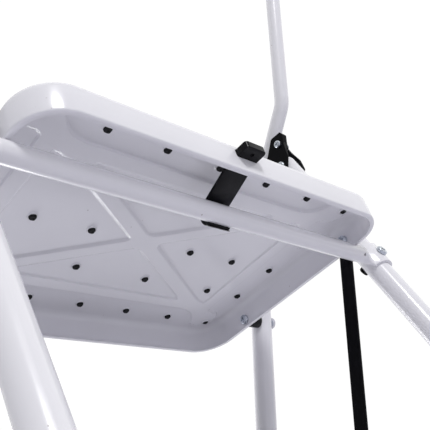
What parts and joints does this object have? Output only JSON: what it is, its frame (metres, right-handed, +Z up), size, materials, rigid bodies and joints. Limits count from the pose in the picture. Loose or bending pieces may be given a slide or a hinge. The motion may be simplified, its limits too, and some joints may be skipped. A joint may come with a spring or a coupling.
{
  "type": "folding step ladder",
  "caption": "Folding steel step ladder with a platform, deep pressed steps, rubber mats, black hinge brackets, link bars, a latch button and a tall handrail.",
  "frame": {"origin": "on the floor, midway between the four feet", "axes": "+Z up, -Y towards the person who climbs, +X to that person's right"},
  "size_m": [0.5228, 0.6626, 1.244],
  "materials": {
    "white_powder_coat": "smooth glossy white powder coat on steel",
    "black_powder_coat": "satin black powder coat on pressed steel",
    "black_plastic": "black moulded plastic, slightly satin",
    "black_rubber": "matte ribbed black rubber",
    "zinc_steel": "bright zinc-plated steel fasteners"
  },
  "bodies": {
    "front_frame": {"front_leg_left": "white_powder_coat", "front_leg_right": "white_powder_coat", "front_foot_left": "black_plastic", "front_foot_right": "black_plastic", "handrail": "white_powder_coat", "handrail_grip": "black_rubber", "leg_top_collars": "black_plastic", "hinge_bracket_left": "black_powder_coat", "hinge_bracket_right": "black_powder_coat", "bracket_bolts": "zinc_steel", "bracket_nuts": "black_plastic", "stop_bolts": "zinc_steel", "stop_posts": "zinc_steel", "hinge_pivot_bolts": "zinc_steel", "hinge_pivot_nuts": "black_plastic", "front_lower_brace": "white_powder_coat", "front_brace_screws": "zinc_steel", "front_brace_cap_nuts": "black_plastic", "step_pivot_bolts": "zinc_steel", "step_pivot_spacers": "black_plastic", "step_pivot_nuts": "white_powder_coat"},
    "rear_frame": {"rear_leg_left": "white_powder_coat", "rear_leg_right": "white_powder_coat", "rear_foot_left": "black_plastic", "rear_foot_right": "black_plastic", "rear_crossbar": "white_powder_coat", "rear_lower_brace": "white_powder_coat", "rear_frame_screws": "zinc_steel", "rear_frame_cap_nuts": "black_plastic"},
    "platform": {"platform_pan": "white_powder_coat", "platform_mat": "black_rubber", "platform_link_bolts": "zinc_steel", "platform_link_nuts": "black_plastic", "latch_spring": "zinc_steel"},
    "middle_step": {"middle_step_pan": "white_powder_coat", "middle_step_mat": "black_rubber", "middle_step_link_bolts": "zinc_steel", "middle_step_link_nuts": "black_plastic"},
    "bottom_step": {"bottom_step_pan": "white_powder_coat", "bottom_step_mat": "black_rubber", "bottom_step_link_bolts": "zinc_steel", "bottom_step_link_nuts": "black_plastic"},
    "link_left": {"link_bar_left": "black_powder_coat"},
    "link_right": {"link_bar_right": "black_powder_coat"},
    "latch": {"latch_hook": "black_plastic"}
  },
  "joints": [
    {"name": "platform_fold", "type": "hinge", "parent": "front_frame", "child": "platform", "pos_m": [0, -0.034, 0.679], "axis": [1, 0, 0], "range_deg": [0, 60.5]},
    {"name": "middle_step_fold", "type": "hinge", "parent": "front_frame", "child": "middle_step", "pos_m": [0, -0.12752, 0.444], "axis": [1, 0, 0], "range_deg": [0, 60.5]},
    {"name": "bottom_step_fold", "type": "hinge", "parent": "front_frame", "child": "bottom_step", "pos_m": [0, -0.22104, 0.209], "axis": [1, 0, 0], "range_deg": [0, 60.5]},
    {"name": "link_left_swing", "type": "hinge", "parent": "platform", "child": "link_left", "pos_m": [0, 0.1292, 0.6823], "axis": [1, 0, 0], "range_deg": [-60.5, 0]},
    {"name": "link_right_swing", "type": "hinge", "parent": "platform", "child": "link_right", "pos_m": [0, 0.1292, 0.6823], "axis": [1, 0, 0], "range_deg": [-60.5, 0]},
    {"name": "rear_frame_fold", "type": "hinge", "parent": "front_frame", "child": "rear_frame", "pos_m": [0, 0.08669, 0.8306], "axis": [1, 0, 0], "range_deg": [-33.25, 0]},
    {"name": "latch_press", "type": "slide", "parent": "platform", "child": "latch", "axis": [0, -1, 0], "range_m": [0, 0.007], "stiffness_N_per_m": 300, "springref_m": -0.006, "deforming": ["latch_spring"]}
  ],
  "couplings": [
    {"joint": "middle_step_fold", "follows": "platform_fold", "ratio": 1},
    {"joint": "bottom_step_fold", "follows": "platform_fold", "ratio": 1},
    {"joint": "link_left_swing", "follows": "platform_fold", "ratio": -1},
    {"joint": "link_right_swing", "follows": "platform_fold", "ratio": -1},
    {"joint": "rear_frame_fold", "follows": "platform_fold", "ratio": -0.54876}
  ]
}
